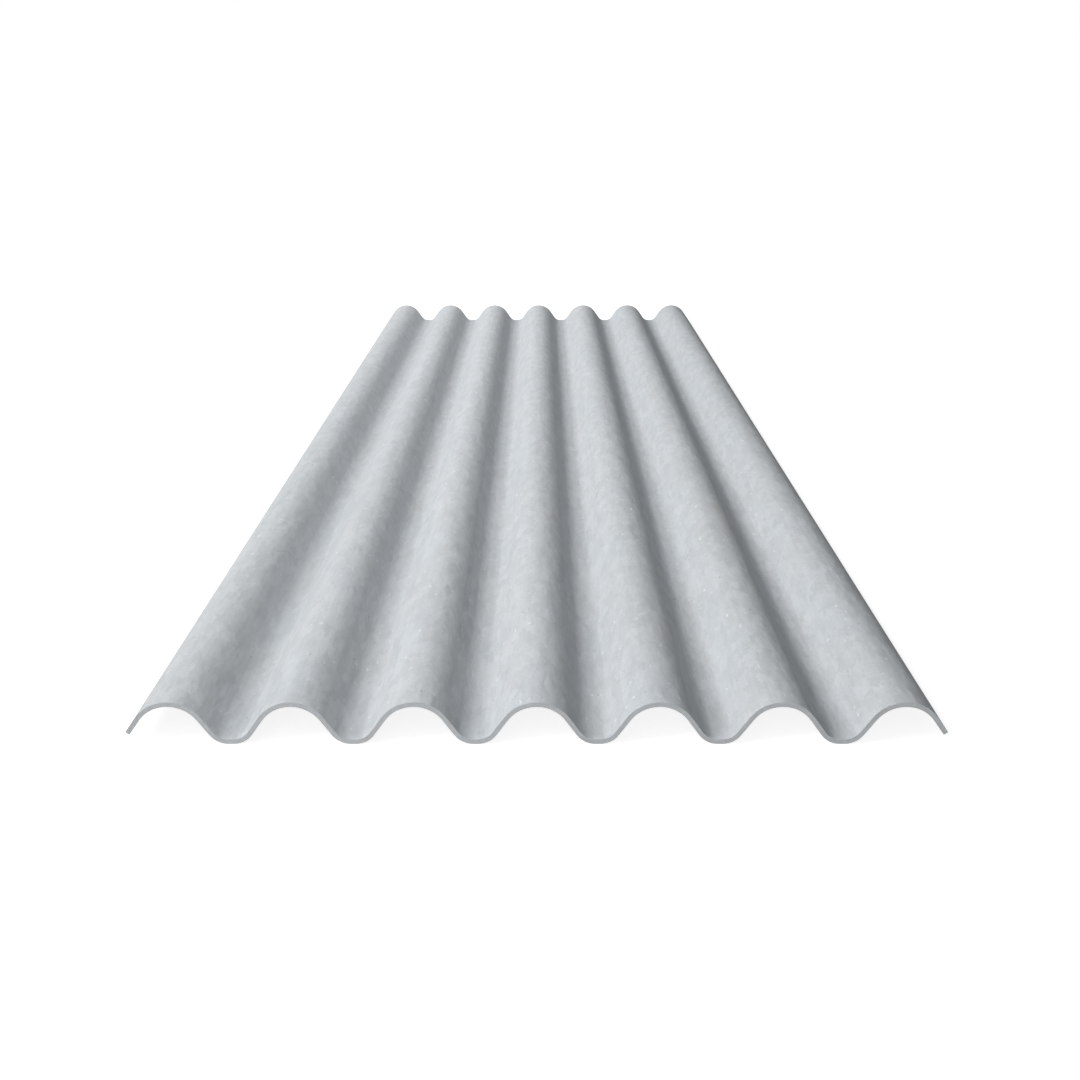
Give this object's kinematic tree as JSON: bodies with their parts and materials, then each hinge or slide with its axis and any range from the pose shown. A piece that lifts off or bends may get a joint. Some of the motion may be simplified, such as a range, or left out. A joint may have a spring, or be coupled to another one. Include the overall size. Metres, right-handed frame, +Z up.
{
  "type": "corrugated fiber cement sheet",
  "caption": "Long rigid roofing and cladding sheet, pressed in rounded waves, with square-cut ends and turned-down side edges that lap over the next sheet.",
  "frame": {"origin": "on the floor that the troughs rest on, under the middle of the sheet", "axes": "+X across the waves to the right, +Y along the waves away from the camera, +Z up"},
  "size_m": [0.981, 3.05, 0.0546],
  "materials": {
    "fibre_cement": "matte"
  },
  "bodies": {
    "root": {"corrugated_sheet": "fibre_cement"}
  },
  "joints": []
}
